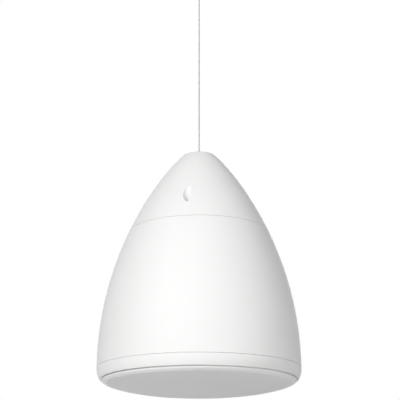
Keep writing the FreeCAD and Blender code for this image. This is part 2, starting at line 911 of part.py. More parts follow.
def make_woofer_gasket():
    """Gasket between the baffle and the woofer's rim."""
    body = tube(basket_r, woofer_hole_r, rim_top_z, baffle_z)
    for x, y in woofer_screw_places():
        body = body.cut(cylinder(m4_r + m4_hole_gap, rim_top_z, baffle_z, x, y))
    return body


def make_woofer_basket():
    """Pressed basket: rim, windowed cone, ledge for the spider, and floor on the top plate."""
    t = basket_sheet
    corners = [
        (gap_r, basket_floor_z, 0), (gap_r, basket_floor_z - t, 0),
        (basket_floor_r - t, basket_floor_z - t, 0), (ledge_in_r, ledge_z, 0),
        (ledge_out_r, ledge_z, 0), (basket_well_r - t, rim_z, 0),
        (basket_r, rim_z, 0), (basket_r, rim_top_z, 0),
        (basket_well_r, rim_top_z, 0), (ledge_out_r + basket_flare, ledge_z + t, 0),
        (basket_floor_r + t, ledge_z + t, 0), (basket_floor_r, basket_floor_z, 0)]
    basket = turned_corners(corners)
    step = 360.0 / basket_windows
    low = rim_top_z + 2 * t
    high = ledge_z - t
    for i in range(basket_windows):
        wedge = window_wedge(low, high)
        wedge.rotate(origin, up, i * step)
        basket = basket.cut(wedge)
    for x, y in woofer_screw_places():
        basket = basket.cut(cylinder(m4_r + m4_hole_gap, rim_z, rim_top_z, x, y))
    return basket


def window_wedge(low, high):
    """Wedge that cuts one window through the basket's cone."""
    half_width = basket_r * tan(radians(window_angle / 2))
    corners = [(0, 0, 0), (basket_r, -half_width, 0), (basket_r, half_width, 0)]
    return prism(corners, lambda x, y: FreeCAD.Vector(x, y, low), FreeCAD.Vector(0, 0, high - low))


def make_woofer_screws():
    """Screws through the woofer's rim into the baffle."""
    return [screw(m4_r, woofer_screw_len, m4_head_r, m4_head, x, y, rim_z, -1)
            for x, y in woofer_screw_places()]


def make_top_plate():
    """Steel plate in front of the magnet, with the air gap."""
    return tube(top_plate_r, gap_r, basket_floor_z, plate_top_z)


def make_magnet():
    """Ferrite ring magnet."""
    return turned_corners([
        (magnet_bore_r, plate_top_z, 0), (magnet_r, plate_top_z, magnet_round),
        (magnet_r, magnet_top_z, magnet_round), (magnet_bore_r, magnet_top_z, 0)])


def make_yoke():
    """Back plate and pole piece, bored for the tweeter's bolt."""
    back = cylinder(yoke_r, magnet_top_z, yoke_top_z)
    pole = cylinder(pole_r, basket_floor_z, magnet_top_z)
    return back.fuse(pole).removeSplitter().cut(cylinder(post_hole_r, basket_floor_z, yoke_top_z))


def make_voice_coil():
    """Coil former with its winding."""
    former = tube(former_outer_r, former_r, former_end_z, former_top_z)
    winding = tube(coil_r, former_r, coil_top_z - coil_len, coil_top_z)
    return former.fuse(winding).removeSplitter()


def make_cone():
    """Paper cone, open in the middle around the tweeter's post, with a flat lip at its edge."""
    neck_r = former_outer_r + crimp_gap
    lip_r = cone_edge_r - glue_land
    poles = [(neck_r, cone_neck_z), (neck_r + cone_bend_out, cone_neck_z - cone_bend), (lip_r, rim_z)]
    back = inset_poles(poles, cone_sheet)
    corner = crossing((back[1], back[2]), ((0, rim_z + cone_sheet), (body_r, rim_z + cone_sheet)))
    back[2] = corner
    edges = [
        bezier(poles).toShape(),
        line(poles[-1], (cone_edge_r, rim_z)),
        line((cone_edge_r, rim_z), (cone_edge_r, rim_z + cone_sheet)),
        line((cone_edge_r, rim_z + cone_sheet), corner),
        bezier(back).toShape(),
        line(back[0], poles[0]),
    ]
    return turned(edges).cut(cylinder(neck_r, rim_z, cone_neck_z + cone_bend))


def make_spider():
    """Corrugated disc that centres the coil."""
    z = ledge_z - part_gap - spider_sheet
    inner = former_outer_r + spider_neck
    first = inner + spider_land
    wave_len = (ledge_in_r - spider_land - first) / spider_waves
    lower = [(inner, z, 0)]
    for i in range(spider_waves):
        start = first + i * wave_len
        lower.append((start + wave_len / 4, z + spider_wave, wave_len / 6))
        lower.append((start + 3 * wave_len / 4, z - spider_wave, wave_len / 6))
    lower += [(first + spider_waves * wave_len, z, 0), (ledge_in_r + spider_seat, z, 0)]
    upper = [(r, h + spider_sheet, bend) for r, h, bend in reversed(lower)]
    return turned_corners(lower + upper)


def make_surround():
    """Rubber half roll between the cone's edge and the rim."""
    t = surround_sheet
    land_z = rim_z - t
    roll_in = cone_edge_r - glue_edge
    roll_out = basket_well_r - basket_sheet
    middle = (roll_in + roll_out) / 2
    roll_r = (roll_out - roll_in) / 2
    outer = Part.Arc(at(roll_in, land_z), at(middle, land_z - roll_r), at(roll_out, land_z)).toShape()
    inner_low = at(middle, land_z - roll_r + t)
    inner = Part.Arc(at(roll_in + t, land_z), inner_low, at(roll_out - t, land_z)).toShape()
    glue_r = cone_edge_r - glue_land
    edges = [
        line((glue_r, land_z), (roll_in, land_z)),
        outer,
        line((roll_out, land_z), (surround_r, land_z)),
        line((surround_r, land_z), (surround_r, rim_z)),
        line((surround_r, rim_z), (roll_out - t, rim_z)),
        line((roll_out - t, rim_z), (roll_out - t, land_z)),
        inner,
        line((roll_in + t, land_z), (roll_in + t, rim_z)),
        line((roll_in + t, rim_z), (glue_r, rim_z)),
        line((glue_r, rim_z), (glue_r, land_z)),
    ]
    return turned(edges)


def make_rim_ring():
    """Ring that presses the surround on the rim."""
    high = rim_z - surround_sheet
    return tube(rim_ring_r, rim_ring_r - rim_ring_width, high - rim_ring, high)


def make_tweeter_post():
    """Post that carries the tweeter in front of the pole."""
    return tube(post_r, post_hole_r, tweeter_top_z, basket_floor_z)


def make_post_bolt():
    """Bolt from behind, through the pole and the post, into the tweeter."""
    length = yoke_top_z - tweeter_top_z + tweeter_thread - edge_break
    return screw(m4_r, length, bolt_head_r, m4_head, 0, 0, yoke_top_z, 1)


def make_tweeter_housing():
    """Tweeter housing, tapered to its post, with a flared lip round the dome."""
    seat_r = tweeter_dome_r + tweeter_seat
    body = turned_corners([
        (0, tweeter_top_z, 0), (tweeter_back_r, tweeter_top_z, tweeter_back_round),
        (tweeter_r, tweeter_top_z - tweeter_taper_len, tweeter_side_round),
        (tweeter_r, tweeter_end_z, tweeter_edge_round), (seat_r + tweeter_flare, tweeter_end_z, 0),
        (seat_r, tweeter_seat_z, 0), (0, tweeter_seat_z, 0)])
    return body.cut(cylinder(m4_r + pilot_gap, tweeter_top_z - tweeter_thread, tweeter_top_z))


def make_tweeter_dome():
    """Soft dome of the tweeter, a spherical cap of one thickness."""
    high = tweeter_seat_z
    low = high - tweeter_dome_rise
    ball_r = (tweeter_dome_r ** 2 + tweeter_dome_rise ** 2) / (2 * tweeter_dome_rise)
    ball_z = low + ball_r
    inner_edge_r = sqrt((ball_r - tweeter_dome_sheet) ** 2 - (ball_z - high) ** 2)
    edges = [
        cap_arc(ball_r, ball_z, tweeter_dome_r),
        line((tweeter_dome_r, high), (inner_edge_r, high)),
        cap_arc(ball_r - tweeter_dome_sheet, ball_z, inner_edge_r),
        line((0, low + tweeter_dome_sheet), (0, low)),
    ]
    return turned(edges)


def cap_arc(ball_r, ball_z, edge_r):
    """Arc from the axis at the lowest point of a ball out to a radius."""
    half_r = edge_r / 2
    half = at(half_r, ball_z - sqrt(ball_r ** 2 - half_r ** 2))
    edge = at(edge_r, ball_z - sqrt(ball_r ** 2 - edge_r ** 2))
    return Part.Arc(at(0, ball_z - ball_r), half, edge).toShape()


def make_terminal_block():
    """Four-pole terminal block with screw wells above and wire holes behind."""
    half = terminal_long / 2
    y0 = terminal_y - terminal_wide / 2
    y1 = terminal_y + terminal_wide / 2
    body = block(-half, half, y0, y1, deck_z, deck_z + terminal_high)
    rims = [e for e in body.Edges if abs(e.BoundBox.ZLength - terminal_high) < 1e-6]
    body = body.makeFillet(terminal_round, rims)
    top = deck_z + terminal_high
    for x in pole_places():
        body = body.cut(cylinder(well_r, top - well_depth, top, x, terminal_y))
        start = FreeCAD.Vector(x, terminal_y, deck_z + wire_hole_rise)
        body = body.cut(Part.makeCylinder(wire_hole_r, terminal_wide / 2, start, along_y))
    return body


def pole_places():
    """X places of the terminal block's poles."""
    first = -terminal_pitch * (terminal_poles - 1) / 2
    return [first + i * terminal_pitch for i in range(terminal_poles)]


def make_terminal_screws():
    """Clamp screws in the terminal block's wells."""
    low = deck_z + terminal_high - well_depth
    high = low + well_screw_high
    y0, y1 = terminal_y - slot_width / 2, terminal_y + slot_width / 2
    screws = []
    for x in pole_places():
        body = cylinder(well_r - part_gap, low, high, x, terminal_y)
        screws.append(body.cut(block(x - well_r, x + well_r, y0, y1, high - slot_depth, high)))
    return screws


def make_selector_body():
    """Rotary tap switch under the deck, with its bush through the deck."""
    low = deck_under_z - selector_len
    body = cylinder(selector_r, low, deck_under_z, 0, selector_y)
    bush_top = deck_z + selector_bush_above
    bush = cylinder(selector_bush_r, deck_under_z, bush_top, 0, selector_y)
    half_x, half_y = lug_sheet / 2, lug_width / 2
    for i in range(lug_count):
        x, y = azimuth_place(selector_r - lug_inset, i * 360.0 / (lug_count + 1))
        lug_y = selector_y + y
        body = body.fuse(block(x - half_x, x + half_x, lug_y - half_y, lug_y + half_y, low - lug_len, low))
    bore = cylinder(selector_shaft_r + shaft_gap, low + selector_floor, bush_top, 0, selector_y)
    return body.fuse(bush).removeSplitter().cut(bore)


def make_selector_nut():
    """Hexagon nut that clamps the switch to the deck."""
    radius = selector_nut_across / 2 / cos(radians(30))
    corners = [(radius * cos(radians(60 * i)), radius * sin(radians(60 * i)), 0) for i in range(6)]
    nut = prism(corners, lambda x, y: FreeCAD.Vector(x, y + selector_y, deck_z),
                FreeCAD.Vector(0, 0, selector_nut))
    return nut.cut(cylinder(selector_bush_r + thread_gap, deck_z, deck_z + selector_nut, 0, selector_y))


def make_selector_knob():
    """Knob with its shaft, which turns to choose the transformer's tap."""
    low = deck_z + selector_bush_above + knob_above
    high = low + knob_high
    knob = cylinder(knob_r, low, high, 0, selector_y)
    rim = [e for e in knob.Edges if abs(e.CenterOfMass.z - high) < 1e-6]
    knob = knob.makeFillet(knob_round, rim)
    for i in range(1, knob_grips):
        x, y = azimuth_place(knob_r + grip_out, i * 360.0 / knob_grips)
        knob = knob.cut(cylinder(grip_r, low, high, x, selector_y + y))
    half = pointer_width / 2
    pointer = block(-half, half, selector_y - knob_r, selector_y - pointer_start, high - pointer_deep, high)
    shaft_z = deck_under_z - selector_len + selector_floor + part_gap
    shaft = cylinder(selector_shaft_r, shaft_z, low, 0, selector_y)
    return knob.cut(pointer).fuse(shaft).removeSplitter()


def make_transformer_core():
    """Stack of E and I laminations, standing under the deck."""
    half = core_long / 2
    x0, x1 = core_x - core_stack / 2, core_x + core_stack / 2
    high = deck_under_z - part_gap
    core = block(x0, x1, -half, half, high - core_high, high)
    window_z0 = high - core_high + core_leg
    for side in (-1, 1):
        y0, y1 = sorted((side * core_leg, side * 2 * core_leg))
        core = core.cut(block(x0, x1, y0, y1, window_z0, high - core_leg))
    return core


def make_transformer_coil():
    """Winding round the middle leg of the core."""
    high = deck_under_z - part_gap - core_leg - winding_gap
    low = deck_under_z - part_gap - core_high + core_leg + winding_gap
    x_out = core_stack / 2 + winding_out
    y_out = 2 * core_leg - winding_gap
    body = block(core_x - x_out, core_x + x_out, -y_out, y_out, low, high)
    upright = [e for e in body.Edges if abs(e.BoundBox.ZLength - (high - low)) < 1e-6]
    body = body.makeFillet(winding_round, upright)
    x_in = core_stack / 2 + winding_gap
    y_in = core_leg + winding_gap
    return body.cut(block(core_x - x_in, core_x + x_in, -y_in, y_in, low, high))


def make_transformer_clamp():
    """Bent steel strap that holds the core against the deck."""
    t = clamp
    high = deck_under_z
    half = core_long / 2 + clamp_gap
    low = high - part_gap - core_high - clamp_gap
    foot = half + t + clamp_foot
    x0 = core_x - clamp_width / 2
    corners = [
        (-foot, high, 0), (-half, high, clamp_bend + t), (-half, low, 0),
        (half, low, 0), (half, high, clamp_bend + t), (foot, high, 0),
        (foot, high - t, 0), (half + t, high - t, clamp_bend), (half + t, low - t, t),
        (-half - t, low - t, t), (-half - t, high - t, clamp_bend), (-foot, high - t, 0)]
    strip = prism(corners, lambda y, z: FreeCAD.Vector(x0, y, z), FreeCAD.Vector(clamp_width, 0, 0))
    for y in (-clamp_screw_y, clamp_screw_y):
        strip = strip.cut(cylinder(m3_r + m3_hole_gap, high - t, high, core_x, y))
    return strip


def make_clamp_screws():
    """Screws from below through the clamp's feet into the deck."""
    z = deck_under_z - clamp
    return [screw(m3_r, clamp_screw_len, m3_head_r, m3_head, core_x, y, z, -1)
            for y in (-clamp_screw_y, clamp_screw_y)]


def board_screw_places():
    """Places of the crossover board's screws."""
    y = board_half_y - standoff_inset
    columns = (board_x0 + standoff_inset, board_x0 + board_long - standoff_inset)
    return [(x, side * y) for x in columns for side in (-1, 1)]


def make_crossover_board():
    """Circuit board on the mounting plate's standoffs."""
    body = block(board_x0, board_x0 + board_long, -board_half_y, board_half_y, board_z - board, board_z)
    for x, y in board_screw_places():
        body = body.cut(cylinder(m3_r + m3_hole_gap, board_z - board, board_z, x, y))
    return body


def make_board_screws():
    """Screws that hold the crossover board."""
    return [screw(m3_r, board_screw_len, m3_head_r, m3_head, x, y, board_z - board, -1)
            for x, y in board_screw_places()]


def make_inductor():
    """Air-cored coil of the crossover, with softened edges."""
    high = board_z - board
    low = high - inductor_len
    coil = turned_corners([
        (inductor_bore_r, low, 0), (inductor_r, low, inductor_round),
        (inductor_r, high, inductor_round), (inductor_bore_r, high, 0)])
    coil.translate(FreeCAD.Vector(inductor_x, inductor_y, 0))
    return coil


def make_capacitor():
    """Film capacitor that lies on the board."""
    x0 = board_x0 + (board_long - capacitor_len) / 2
    start = FreeCAD.Vector(x0, capacitor_y, board_z - board - capacitor_r)
    body = Part.makeCylinder(capacitor_r, capacitor_len, start, along_x)
    rims = [e for e in body.Edges if e.BoundBox.XLength < 1e-6]
    return body.makeFillet(capacitor_round, rims)


def make_resistor():
    """Ceramic power resistor on the board."""
    high = board_z - board
    x0 = board_x0 + (board_long - resistor_len) / 2
    half = resistor_side / 2
    return block(x0, x0 + resistor_len, resistor_y - half, resistor_y + half, high - resistor_side, high)


def save_all():
    """Write every node."""
    save("ceiling_holder", make_ceiling_holder())
    save("holder_cap", make_holder_cap())
    save("upper_stop", make_upper_stop())
    save("wire_rope", cylinder(rope_r, rope_low_z(), rope_top_z()))
    save("lower_stop", make_lower_stop())
    save("top_cap", make_top_cap())
    save("nose_bush", make_nose_bush())
    save("cable_grommet", make_cable_grommet())
    save("cap_screws", *make_cap_screws())
    save("main_shell", make_main_shell())
    save("mounting_plate", make_mounting_plate())
    save("suspension_bracket", make_suspension_bracket())
    save("bracket_screws", *make_bracket_screws())
    save("trim_ring", make_trim_ring())
    save("baffle_gasket", make_baffle_gasket())
    save("baffle", make_baffle())
    save("baffle_screws", *make_baffle_screws())
    save("grille", make_grille())
    save("grille_cloth", make_grille_cloth())
    save("woofer_gasket", make_woofer_gasket())
    save("woofer_basket", make_woofer_basket())
    save("woofer_screws", *make_woofer_screws())
    save("top_plate", make_top_plate())
    save("magnet", make_magnet())
    save("yoke", make_yoke())
    save("voice_coil", make_voice_coil())
    save("cone", make_cone())
    save("spider", make_spider())
    save("surround", make_surround())
    save("rim_ring", make_rim_ring())
    save("tweeter_post", make_tweeter_post())
    save("post_bolt", make_post_bolt())
    save("tweeter_housing", make_tweeter_housing())
    save("tweeter_dome", make_tweeter_dome())
    save("terminal_block", make_terminal_block())
    save("terminal_screws", *make_terminal_screws())
    save("selector_body", make_selector_body())
    save("selector_nut", make_selector_nut())
    save("selector_knob", make_selector_knob())
    save("transformer_core", make_transformer_core())
    save("transformer_coil", make_transformer_coil())
    save("transformer_clamp", make_transformer_clamp())
    save("clamp_screws", *make_clamp_screws())
    save("crossover_board", make_crossover_board())
    save("board_screws", *make_board_screws())
    save("inductor", make_inductor())
    save("capacitor", make_capacitor())
    save("resistor", make_resistor())


os.makedirs("parts", exist_ok=True)
save_all()
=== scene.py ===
import json
from math import cos, pi, radians, sin, sqrt

import bpy
import numpy as np
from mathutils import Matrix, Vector
from mathutils.geometry import delaunay_2d_cdt

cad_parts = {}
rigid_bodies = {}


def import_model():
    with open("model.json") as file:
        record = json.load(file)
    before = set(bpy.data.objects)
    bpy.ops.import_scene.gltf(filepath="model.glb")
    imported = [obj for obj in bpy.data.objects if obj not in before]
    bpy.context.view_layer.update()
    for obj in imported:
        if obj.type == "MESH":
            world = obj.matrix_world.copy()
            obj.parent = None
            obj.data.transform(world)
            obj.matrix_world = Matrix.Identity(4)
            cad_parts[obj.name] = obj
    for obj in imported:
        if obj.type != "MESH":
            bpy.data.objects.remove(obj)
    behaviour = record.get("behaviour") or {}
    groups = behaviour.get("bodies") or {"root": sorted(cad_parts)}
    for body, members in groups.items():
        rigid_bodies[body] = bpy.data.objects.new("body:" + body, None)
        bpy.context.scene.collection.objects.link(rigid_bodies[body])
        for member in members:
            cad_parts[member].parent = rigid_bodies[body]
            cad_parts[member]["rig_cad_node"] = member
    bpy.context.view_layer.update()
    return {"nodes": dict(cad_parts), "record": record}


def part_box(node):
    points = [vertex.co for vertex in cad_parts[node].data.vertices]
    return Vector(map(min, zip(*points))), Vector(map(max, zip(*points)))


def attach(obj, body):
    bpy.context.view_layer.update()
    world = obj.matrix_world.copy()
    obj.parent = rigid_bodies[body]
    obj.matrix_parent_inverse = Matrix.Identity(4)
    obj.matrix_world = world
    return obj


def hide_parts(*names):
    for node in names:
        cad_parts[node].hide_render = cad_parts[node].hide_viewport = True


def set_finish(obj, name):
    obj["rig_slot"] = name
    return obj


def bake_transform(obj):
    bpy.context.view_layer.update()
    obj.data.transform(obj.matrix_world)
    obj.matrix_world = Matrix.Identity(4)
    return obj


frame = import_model()
nodes = frame["nodes"]

MM = 0.001

# Heights and radii that come from the frame, in metres
NOSE_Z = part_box("top_cap")[1].z
WIDE_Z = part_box("main_shell")[0].z
GRILLE_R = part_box("grille")[1].x
GRILLE_TOP_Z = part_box("grille")[1].z
GRILLE_END_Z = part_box("grille")[0].z
CLOTH_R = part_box("grille_cloth")[1].x
RIM_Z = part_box("surround")[1].z
SURROUND_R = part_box("surround")[1].x
SPIDER_LOW_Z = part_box("spider")[0].z
SPIDER_TOP_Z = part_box("spider")[1].z
SPIDER_OUT_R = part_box("spider")[1].x

# Camera, in front of the speaker and below it
AIM_DEPTH = 0.0625
CAMERA_PITCH = 16.14
CAMERA_DISTANCE = 1.7286
CAMERA_SIDE = 0.00125
CAMERA_LENS = 115.2
SENSOR = 36.0

# Rope: six wires round a core, twisted to a long lay
ROPE_D = 1.5 * MM
ROPE_WIRES = 6
ROPE_LAY = 11.0 * MM
ROPE_STEPS_PER_LAY = 20
WIRE_SIDES = 8

# Grille sheet and its perforation
GRILLE_SHEET = 1.2 * MM
GRILLE_STRAIGHT = 0.8 * MM
GRILLE_EDGE_HANDLE = 3.9 * MM
GRILLE_FLAT_INSET = 37.5 * MM
HOLE_PITCH = 2.85 * MM
HOLE_R = 0.95 * MM
HOLE_SIDES = 6
PERFORATED_R = 121.1 * MM
PLAIN_EDGE_R = 122.9 * MM
GRILLE_TURNS = 240
EDGE_ROWS = 12
GRILLE_RIM_ROUND = 0.25 * MM
CURVE_STEPS = 2000
SLOPE_STEP = 1e-5

# Cloth behind the grille
CLOTH_GAP = 0.3 * MM
CLOTH = 0.8 * MM
CLOTH_ROWS = 24
CLOTH_TURNS = 96

# Rubber surround and cloth spider, cut in sectors
SECTORS = 12
SECTOR_STEPS = 10
SURROUND_SHEET = 0.8 * MM
ROLL_IN_R = 60.0 * MM
ROLL_OUT_R = 69.5 * MM
GLUE_R = 57.0 * MM
ROLL_STEPS = 16
SPIDER_SHEET = 0.7 * MM
SPIDER_NECK = 0.3 * MM
SPIDER_LAND = 2.0 * MM
SPIDER_SEAT = 3.5 * MM
SPIDER_WAVES = 4
SPIDER_WAVE_STEPS = 10
FORMER_R = 13.3 * MM

# Meshes: what counts as one place or as on the axis, and the degrees past which an edge shows
SAME_PLACE = 1e-9
ON_AXIS = 1e-7
TRIANGLES_INSIDE = 1
EDGE_ANGLE = 35.0
GRILLE_EDGE_ANGLE = 40.0
ROPE_EDGE_ANGLE = 60.0

# Finishes: the part of a noise that is used, then scales in features per metre with their detail
NOISE_LOW = 0.3
NOISE_HIGH = 0.7
TONE_SCALE = 22.0
TONE_DETAIL = 3.0
GLOSS_SCALE = 160.0
GLOSS_DETAIL = 5.0
GLOSS_VARY = 0.05
GRAIN_DETAIL = 3.0

# Brushed metal: its lines, and how they change tone, gloss and height
LINE_SCALE = 60.0
LINE_DETAIL = 6.0
LINE_DARK = 0.86
LINE_LIGHT = 1.1
LINE_SMOOTHER = 0.08
LINE_ROUGHER = 0.1
LINE_DEPTH = 0.015 * MM

# Woven cloth: the fuzz on its threads, painted shade in the low gaps between threads and a painted highlight
# on their tops
FUZZ_SCALE = 2500.0
FUZZ_DETAIL = 2.0
FUZZ_SHARE = 0.2
THREAD_GAP_SHADE = 0.62
THREAD_TOP_HIGHLIGHT = 1.08

# Wound wire: painted shade in the groove between turns and a painted highlight on each crest, dulled at
# random, and its enamel
WIRE_SCALE = 240.0
WIRE_DETAIL = 3.0
WIRE_DULLEST = 0.7
WIRE_GROOVE_SHADE = 0.35
WIRE_CREST_HIGHLIGHT = 1.15
WIRE_DEPTH = 0.12 * MM
WIRE_ROUGH = 0.28
WIRE_METALLIC = 0.85
WIRE_COAT = 0.4

# Stage
FLOOR_Z = -2.4
FLOOR_R = 12.0
FLOOR_SIDES = 64
FLOOR_GREY = 0.85
FLOOR_ROUGH = 0.9
AMBIENT = 0.19
FLOOR_GLOW = 0.5
# Lamps: name, azimuth from the camera's side and elevation in degrees, distance and size in metres, and
# share of full white
LAMPS = (
    ("key_light", -36.0, 20.0, 2.4, 1.0, 0.69),
    ("low_light", 4.0, -10.0, 2.4, 1.0, 0.18),
    ("fill_light", 42.0, 0.0, 2.4, 1.0, 0.28),
    ("under_light", -80.0, -70.0, 0.5, 0.3, 0.13),
    ("back_light", 172.0, 16.0, 2.4, 1.0, 0.32),
)


def make_camera():
    """Camera at the photograph's angle."""
    pitch = radians(CAMERA_PITCH)
    look = Vector((0, cos(pitch), sin(pitch)))
    data = bpy.data.cameras.new("camera")
    data.lens = CAMERA_LENS
    data.sensor_width = SENSOR
    camera = bpy.data.objects.new("camera", data)
    aim = Vector((CAMERA_SIDE, 0, NOSE_Z - AIM_DEPTH))
    camera.location = aim - look * CAMERA_DISTANCE
    camera.rotation_mode = "QUATERNION"
    camera.rotation_quaternion = look.to_track_quat("-Z", "Y")
    bpy.context.scene.collection.objects.link(camera)
    bpy.context.scene.camera = camera


def link_mesh(name, points, faces, smooth=True):
    """Mesh object from points and faces in metres."""
    mesh = bpy.data.meshes.new(name)
    mesh.from_pydata([tuple(p) for p in points], [], [tuple(f) for f in faces])
    mesh.update()
    if smooth:
        mesh.polygons.foreach_set("use_smooth", [True] * len(mesh.polygons))
    made = bpy.data.objects.new(name, mesh)
    bpy.context.scene.collection.objects.link(made)
    return made


def sharpen(piece, degrees_kept=EDGE_ANGLE):
    """Keep edges sharper than an angle as edges in the shading."""
    split = piece.modifiers.new("edges", "EDGE_SPLIT")
    split.split_angle = radians(degrees_kept)
    return piece


def bezier_point(poles, t):
    """Point of a Bezier curve of any degree."""
    rows = [np.array(p, float) for p in poles]
    while len(rows) > 1:
        rows = [a + (b - a) * t for a, b in zip(rows, rows[1:])]
    return rows[0]


def inset_poles(poles, inset):
    """Poles of the curve alongside, moved to the left of its legs and met again at the corners."""
    legs = []
    for a, b in zip(poles, poles[1:]):
        a, b = np.array(a, float), np.array(b, float)
        along = (b - a) / np.linalg.norm(b - a)
        aside = np.array([-along[1], along[0]]) * inset
        legs.append((a + aside, b + aside))
    inner = []
    for (a, b), (c, d) in zip(legs, legs[1:]):
        r, s = b - a, d - c
        t = ((c[0] - a[0]) * s[1] - (c[1] - a[1]) * s[0]) / (r[0] * s[1] - r[1] * s[0])
        inner.append(a + r * t)
    return [legs[0][0]] + inner + [legs[-1][1]]


def grille_poles(inset):
    """Outline of the grille's dome at an inset, from the axis to the rim."""
    bend_z = GRILLE_TOP_Z - GRILLE_STRAIGHT
    poles = [(0, GRILLE_END_Z), (GRILLE_R - GRILLE_FLAT_INSET, GRILLE_END_Z),
             (GRILLE_R, bend_z - GRILLE_EDGE_HANDLE), (GRILLE_R, bend_z)]
    return inset_poles(poles, inset)


def dome_height(inset):
    """Function that gives the dome's height over a radius, read along its curve."""
    places = np.array([bezier_point(grille_poles(inset), t) for t in np.linspace(0, 1, CURVE_STEPS + 1)])
    return lambda r: np.interp(r, places[:, 0], places[:, 1])


def hole_centres():
    """Staggered lattice of hole centres inside the perforated round."""
    row_step = HOLE_PITCH * sqrt(3) / 2
    count = int(PERFORATED_R / row_step) + 2
    centres = []
    for j in range(-count, count + 1):
        for i in range(-count, count + 1):
            x = (i + 0.5 * (j % 2)) * HOLE_PITCH
            y = j * row_step
            if x * x + y * y <= PERFORATED_R ** 2:
                centres.append((x, y))
    return centres


def flat_sheet():
    """Flat points, triangles and hole outlines of the perforated round and its plain border."""
    points, holes = [], []
    for x, y in hole_centres():
        first = len(points)
        for k in range(HOLE_SIDES):
            a = 2 * pi * (k + 0.5) / HOLE_SIDES
            points.append(Vector((x + HOLE_R * cos(a), y + HOLE_R * sin(a))))
        holes.append(list(range(first, first + HOLE_SIDES)))
    border = len(points)
    for k in range(GRILLE_TURNS):
        a = 2 * pi * k / GRILLE_TURNS
        points.append(Vector((PLAIN_EDGE_R * cos(a), PLAIN_EDGE_R * sin(a))))
    ring = list(range(border, border + GRILLE_TURNS))
    made = delaunay_2d_cdt(points, [], holes + [ring], TRIANGLES_INSIDE, SAME_PLACE, True)
    new_faces, from_points, from_faces = made[2], made[3], made[5]
    old = [min(rows) for rows in from_points]
    if sorted(old) != list(range(len(points))):
        raise ValueError("the flat sheet gained or lost points")
    solid = len(holes)
    faces = [[old[v] for v in face] for face, rows in zip(new_faces, from_faces)
             if all(row >= solid for row in rows)]
    return [(p.x, p.y) for p in points], faces, holes, ring


def make_grille():
    """Perforated steel dome with real holes and a plain rounded edge that turns up to the ring."""
    flat, faces, holes, ring = flat_sheet()
    flat = np.array(flat)
    radius = np.hypot(flat[:, 0], flat[:, 1])
    outer_height = dome_height(0.0)
    slope = (outer_height(radius + SLOPE_STEP) - outer_height(radius - SLOPE_STEP)) / (2 * SLOPE_STEP)
    tilt = np.sqrt(1 + slope ** 2)
    outer = np.column_stack([flat, outer_height(radius)])
    shrink = 1 - GRILLE_SHEET * slope / tilt / np.maximum(radius, SAME_PLACE)
    inner = np.column_stack([flat * shrink[:, None], outer_height(radius) + GRILLE_SHEET / tilt])
    count = len(flat)
    points = [outer, inner]
    quads = [[f[2], f[1], f[0]] for f in faces] + [[v + count for v in f] for f in faces]
    for hole in holes:
        for a, b in zip(hole, hole[1:] + hole[:1]):
            quads.append([a, b, b + count, a + count])
    rows = edge_rows(ring[0], inner)
    first = 2 * count
    band = []
    for row_radius, row_z in rows:
        for k in range(GRILLE_TURNS):
            a = 2 * pi * k / GRILLE_TURNS
            band.append((row_radius * cos(a), row_radius * sin(a), row_z))
    points.append(np.array(band))
    loops = [ring]
    for i in range(len(rows)):
        loops.append([first + i * GRILLE_TURNS + k for k in range(GRILLE_TURNS)])
    loops.append([v + count for v in ring])
    for lower, upper in zip(loops, loops[1:]):
        for k in range(GRILLE_TURNS):
            m = (k + 1) % GRILLE_TURNS
            quads.append([lower[k], lower[m], upper[m], upper[k]])
    grille = link_mesh("grille_perforated", np.vstack(points), quads)
    sharpen(grille, GRILLE_EDGE_ANGLE)
    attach(grille, "enclosure")
    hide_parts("grille")
    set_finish(grille, "grille_white")


def edge_rows(ring_start, inner):
    """Radii and heights of the rounded edge, outside first, then the rim and the inside."""
    outer_curve = grille_poles(0.0)
    inner_curve = grille_poles(GRILLE_SHEET)
    ts = np.linspace(0, 1, CURVE_STEPS + 1)
    outer = np.array([bezier_point(outer_curve, t) for t in ts])
    inside = np.array([bezier_point(inner_curve, t) for t in ts])
    start = np.searchsorted(outer[:, 0], PLAIN_EDGE_R)
    inner_ring_r = float(np.hypot(inner[ring_start][0], inner[ring_start][1]))
    inner_start = np.searchsorted(inside[:, 0], inner_ring_r)
    picks = np.linspace(start, CURVE_STEPS, EDGE_ROWS + 1)[1:].astype(int)
    inner_picks = np.linspace(inner_start, CURVE_STEPS, EDGE_ROWS + 1)[1:].astype(int)
    rows = [tuple(outer[i]) for i in picks]
    rows.append((GRILLE_R, GRILLE_TOP_Z - GRILLE_RIM_ROUND))
    rows.append((GRILLE_R - GRILLE_RIM_ROUND, GRILLE_TOP_Z))
    rows.append((GRILLE_R - GRILLE_SHEET + GRILLE_RIM_ROUND, GRILLE_TOP_Z))
    rows.append((GRILLE_R - GRILLE_SHEET, GRILLE_TOP_Z - GRILLE_RIM_ROUND))
    rows += [tuple(inside[i]) for i in reversed(inner_picks)]
    return rows


def turned_mesh(name, profile, turns):
    """Closed turned mesh from a closed row of (radius, height); points on the axis are shared."""
    points, loops = [], []
    for r, z in profile:
        if r < ON_AXIS:
            loops.append([len(points)] * turns)
            points.append((0, 0, z))
        else:
            loops.append(list(range(len(points), len(points) + turns)))
            points += [(r * cos(2 * pi * k / turns), r * sin(2 * pi * k / turns), z) for k in range(turns)]
    faces = []
    for i, lower in enumerate(loops):
        upper = loops[(i + 1) % len(loops)]
        for k in range(turns):
            m = (k + 1) % turns
            face = [lower[k], lower[m], upper[m], upper[k]]
            face = [v for n, v in enumerate(face) if v not in face[:n]]
            if len(face) > 2:
                faces.append(face)
    return link_mesh(name, points, faces)


